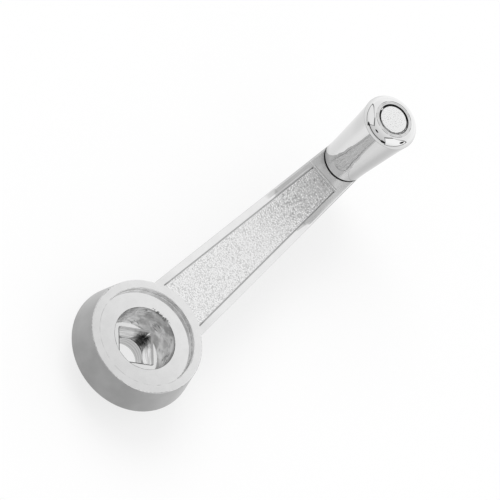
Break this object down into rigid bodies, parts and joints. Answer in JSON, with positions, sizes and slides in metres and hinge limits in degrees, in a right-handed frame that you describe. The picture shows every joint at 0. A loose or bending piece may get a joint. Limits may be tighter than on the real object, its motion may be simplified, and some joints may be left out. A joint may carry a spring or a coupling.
{
  "type": "crank handle",
  "caption": "Chrome-plated crank handle: a round hub with a square drive socket, a tapered arm with a sunk grained panel, and a revolving grip on a riveted pin.",
  "frame": {"origin": "on the hub's axis, in the rear face of the boss that seats against the driven machine", "axes": "+Z along the hub's axis, out of its front; +X along the arm, from the hub to the grip"},
  "size_m": [0.1286, 0.04, 0.0514],
  "materials": {
    "plated_casting": "bright chrome plate on a zinc casting, pebble grain in the sunk panel",
    "polished_grip": "polished bright chrome plate",
    "plated_pin": "plated steel, faced flat with fine marks"
  },
  "bodies": {
    "arm": {"crank_arm": "plated_casting", "grip_pin": "plated_pin"},
    "revolving_grip": {"grip": "polished_grip"}
  },
  "joints": [
    {"name": "grip_spin", "type": "hinge", "parent": "arm", "child": "revolving_grip", "pos_m": [0.0995, 0, 0.0194], "axis": [0, 0, 1], "continuous": true}
  ]
}
